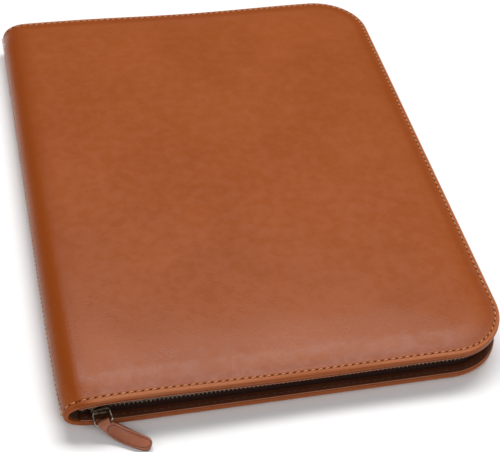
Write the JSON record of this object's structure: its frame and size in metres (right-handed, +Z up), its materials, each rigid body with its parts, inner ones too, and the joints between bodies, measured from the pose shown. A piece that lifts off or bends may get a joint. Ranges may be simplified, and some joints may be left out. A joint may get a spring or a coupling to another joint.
{
  "type": "zip-around portfolio case",
  "caption": "Flat leather document case with rounded outer corners, a padded cover on each side of a soft rounded spine, and a recessed zip round its open edges with a leather pull tab.",
  "frame": {"origin": "centre of the closed case's outline, on the flat underside of the back cover", "axes": "+Z up out of the closed case, +Y along the spine, +X from the spine to the opening edge"},
  "size_m": [0.26, 0.3661, 0.025],
  "materials": {
    "outer_leather": "smooth waxed cowhide, tan, fine grain",
    "facing_leather": "smooth split leather strip",
    "inner_leather": "smooth thin leather",
    "tab_leather": "smooth leather, burnished edges",
    "lining": "dark brown woven lining",
    "foam": "thin brown felt padding",
    "board": "grey-brown bonded fibre board",
    "thread": "waxed tan thread",
    "zip_tape": "dark brown woven tape",
    "zip_metal": "antique nickel-plated brass",
    "slider_metal": "antique nickel-plated brass"
  },
  "bodies": {
    "back_cover": {"back_outer_leather": "outer_leather", "back_padding": "foam", "back_board": "board", "back_edge_facing": "facing_leather", "back_lining": "lining", "back_edge_thread": "thread", "back_zip_tape": "zip_tape", "back_zip_teeth": "zip_metal", "back_zip_stops": "zip_metal", "pad_pocket": "inner_leather", "pen_loop": "inner_leather"},
    "spine": {"spine_leather_lower": "outer_leather", "spine_leather_upper": "outer_leather", "spine_padding": "foam", "spine_lining": "lining", "spine_seam_thread": "thread"},
    "front_cover": {"front_outer_leather": "outer_leather", "front_padding": "foam", "front_board": "board", "front_edge_facing": "facing_leather", "front_lining": "lining", "front_edge_thread": "thread", "front_zip_tape": "zip_tape", "front_zip_teeth": "zip_metal", "front_zip_stops": "zip_metal", "document_pocket": "inner_leather", "card_slot_1": "inner_leather", "card_slot_2": "inner_leather", "card_slot_3": "inner_leather"},
    "zip_slider": {"slider_outer_wing": "slider_metal", "slider_inner_wing": "slider_metal"},
    "ring": {"pull_ring": "slider_metal"},
    "tab": {"pull_tab": "tab_leather"}
  },
  "joints": [
    {"name": "spine_fold", "type": "hinge", "parent": "back_cover", "child": "spine", "pos_m": [-0.119, 0, 0.0006], "axis": [0, -1, 0], "range_deg": [0, 90]},
    {"name": "cover_fold", "type": "hinge", "parent": "spine", "child": "front_cover", "pos_m": [-0.119, 0, 0.0244], "axis": [0, -1, 0], "range_deg": [0, 90]},
    {"name": "zip_slide", "type": "slide", "parent": "back_cover", "child": "zip_slider", "axis": [1, 0, 0], "range_m": [0, 0.19]},
    {"name": "ring_swing", "type": "hinge", "parent": "zip_slider", "child": "ring", "pos_m": [-0.107, -0.17005, 0.0125], "axis": [0.9063, 0, 0.4226], "range_deg": [-45, 7]},
    {"name": "tab_swing", "type": "hinge", "parent": "ring", "child": "tab", "pos_m": [-0.10562, -0.17703, 0.00955], "axis": [0.9063, 0, 0.4226], "range_deg": [-70, 8]}
  ],
  "couplings": [
    {"joint": "cover_fold", "follows": "spine_fold", "ratio": 1}
  ]
}
